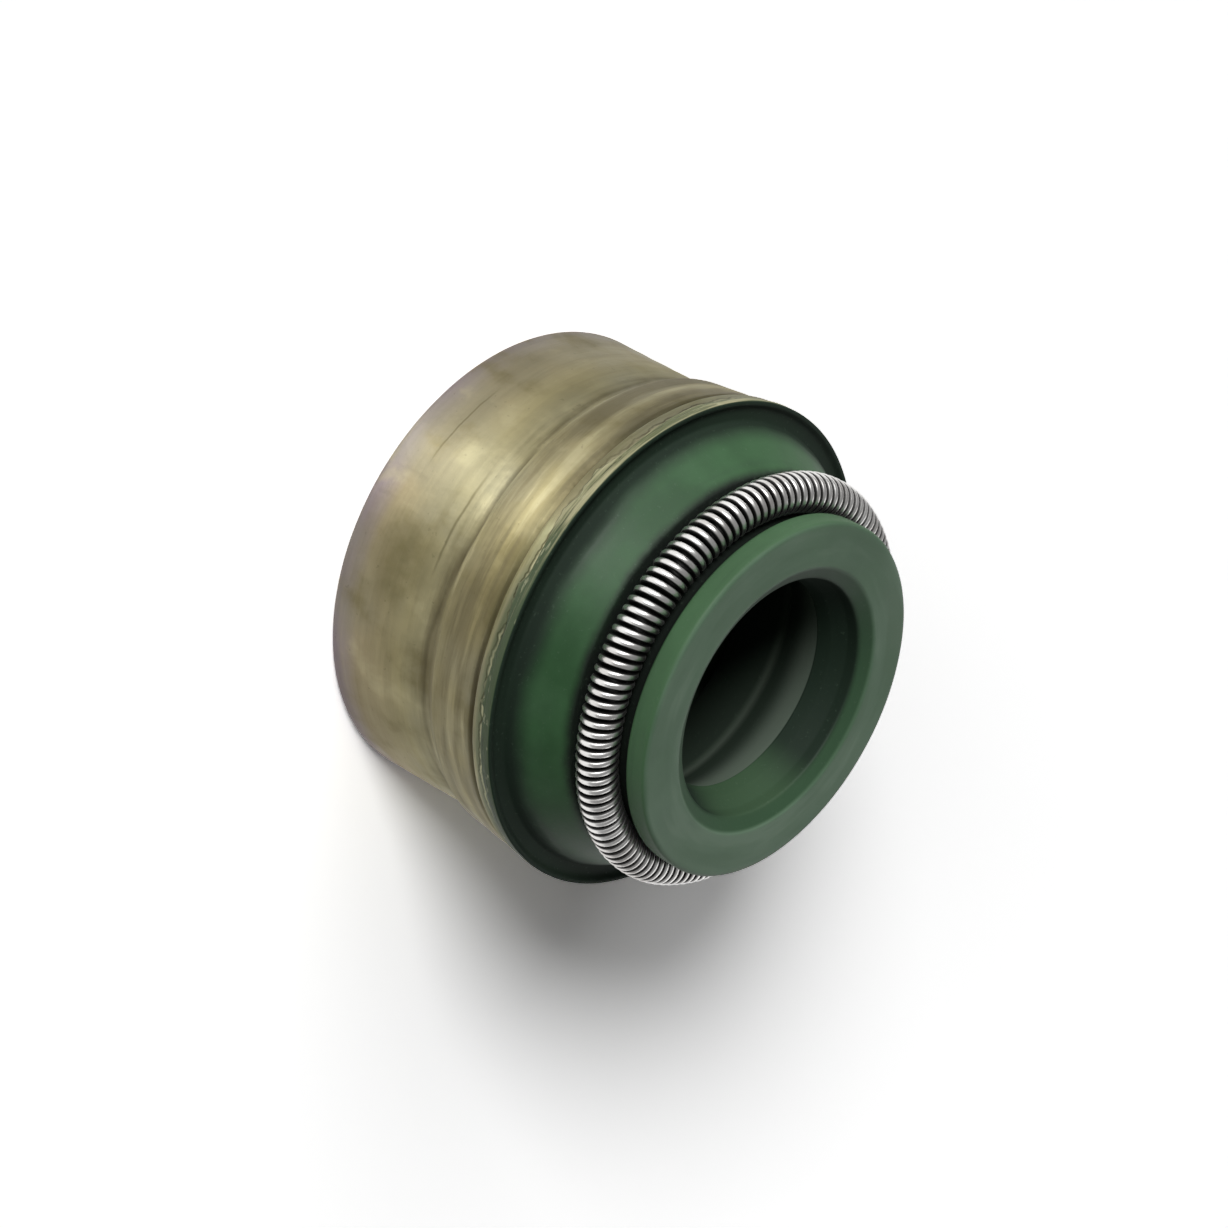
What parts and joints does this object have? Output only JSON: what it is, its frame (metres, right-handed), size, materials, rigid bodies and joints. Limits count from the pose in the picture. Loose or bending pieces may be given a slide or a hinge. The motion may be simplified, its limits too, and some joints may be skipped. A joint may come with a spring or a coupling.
{
  "type": "valve stem seal",
  "caption": "Valve stem seal: green rubber sealing body with a garter spring, bonded to a pressed steel case that fits over a valve guide.",
  "frame": {"origin": "centre of the skirt's open rim, which the seal stands on", "axes": "+Z along the valve stem, from the open rim up to the sealing head"},
  "size_m": [0.0152, 0.0152, 0.0109],
  "materials": {
    "case_steel": "zinc plated and passivated, satin, khaki",
    "green_rubber": "moulded fluoro rubber, satin, dark green",
    "spring_steel": "bright drawn spring wire"
  },
  "bodies": {
    "root": {"steel_case": "case_steel", "rubber_body": "green_rubber", "garter_spring": "spring_steel"}
  },
  "joints": []
}
